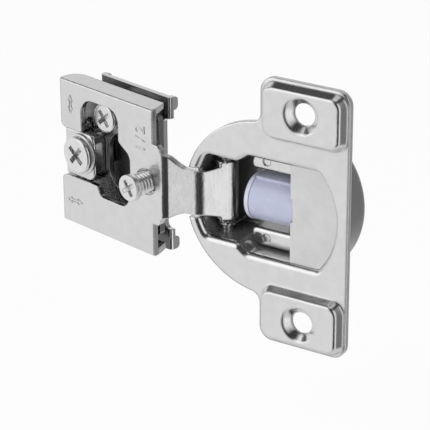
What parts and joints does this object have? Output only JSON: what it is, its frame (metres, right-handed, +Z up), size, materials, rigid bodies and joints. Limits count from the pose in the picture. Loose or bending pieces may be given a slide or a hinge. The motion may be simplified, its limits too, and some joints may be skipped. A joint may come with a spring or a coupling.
{
  "type": "concealed cup hinge",
  "caption": "Concealed face-frame cup hinge with a wrap-around base, three-way adjusting screws and a soft-close damper in the cup, shown open.",
  "frame": {"origin": "centre of the fixing-screw hole, on the back of the base plate where it lies on the edge of the stile", "axes": "+X from the plate towards the cup and the door, +Y out of the back of the base plate into the stile, +Z up along the pivot pin"},
  "size_m": [0.0728, 0.0265, 0.0572],
  "materials": {
    "nickel": "bright nickel plate on pressed steel",
    "satin": "satin nickel",
    "screw": "bright zinc plate",
    "spring": "drawn wire",
    "lavender": "smooth lavender acetal",
    "lavender_light": "smooth pale lavender acetal",
    "plastic": "natural acetal",
    "rubber": "matt"
  },
  "bodies": {
    "base": {"base_plate": "nickel", "guide_rivet_top": "nickel", "guide_rivet_bottom": "nickel"},
    "carrier": {"height_plate": "nickel"},
    "height_cam": {"height_screw": "screw"},
    "slider": {"saddle": "nickel", "clamp_ring": "screw", "clamp_nut": "screw", "tilt_pin_top": "screw", "tilt_pin_bottom": "screw"},
    "clamp": {"clamp_screw": "screw"},
    "arm": {"arm": "nickel", "overlay_nut": "nickel"},
    "overlay": {"overlay_screw": "screw"},
    "cup": {"cup": "nickel", "pivot_pin": "screw", "closing_spring_top": "spring", "closing_spring_bottom": "spring", "cover_plate": "satin", "guide_rail_top": "nickel", "guide_rail_bottom": "nickel", "rail_stud_top": "nickel", "rail_stud_bottom": "nickel", "damper_rod": "screw", "damper_piston": "plastic", "damper_bracket": "nickel"},
    "damper": {"damper_body": "lavender", "damper_collar": "lavender_light", "damper_seal": "rubber", "return_spring": "spring"}
  },
  "joints": [
    {"name": "height_slide", "type": "slide", "parent": "base", "child": "carrier", "axis": [0, 0, 1], "range_m": [-0.0018, 0.0018]},
    {"name": "height_screw_turn", "type": "hinge", "parent": "carrier", "child": "height_cam", "pos_m": [-0.0046, -0.005, 0.0092], "axis": [0, 1, 0], "range_deg": [-90, 90]},
    {"name": "depth_slide", "type": "slide", "parent": "carrier", "child": "slider", "axis": [1, 0, 0], "range_m": [-0.0015, 0.0015]},
    {"name": "clamp_screw_turn", "type": "hinge", "parent": "slider", "child": "clamp", "pos_m": [-0.0096, -0.0078, 0.0005], "axis": [0, 1, 0], "range_deg": [0, 360]},
    {"name": "overlay_tilt", "type": "hinge", "parent": "slider", "child": "arm", "pos_m": [-0.0115, -0.0059, 0], "axis": [0, 0, 1], "range_deg": [-2.5, 2.5]},
    {"name": "overlay_screw_turn", "type": "hinge", "parent": "slider", "child": "overlay", "pos_m": [0.0107, -0.0083, 0], "axis": [0, 1, 0], "range_deg": [-440, 440]},
    {"name": "door_swing", "type": "hinge", "parent": "arm", "child": "cup", "pos_m": [0.02479, 0.00148, 0], "axis": [0, 0, 1], "range_deg": [-102.6, 2.4]},
    {"name": "damper_stroke", "type": "slide", "parent": "cup", "child": "damper", "axis": [0.976, 0.2178, 0], "range_m": [-0.0001, 0.0017]}
  ],
  "couplings": [
    {"joint": "height_screw_turn", "follows": "height_slide", "rad_per_m": 872.66},
    {"joint": "overlay_screw_turn", "follows": "overlay_tilt", "ratio": 174.36},
    {"joint": "damper_stroke", "follows": "door_swing", "m_per_rad": -0.0008935}
  ]
}
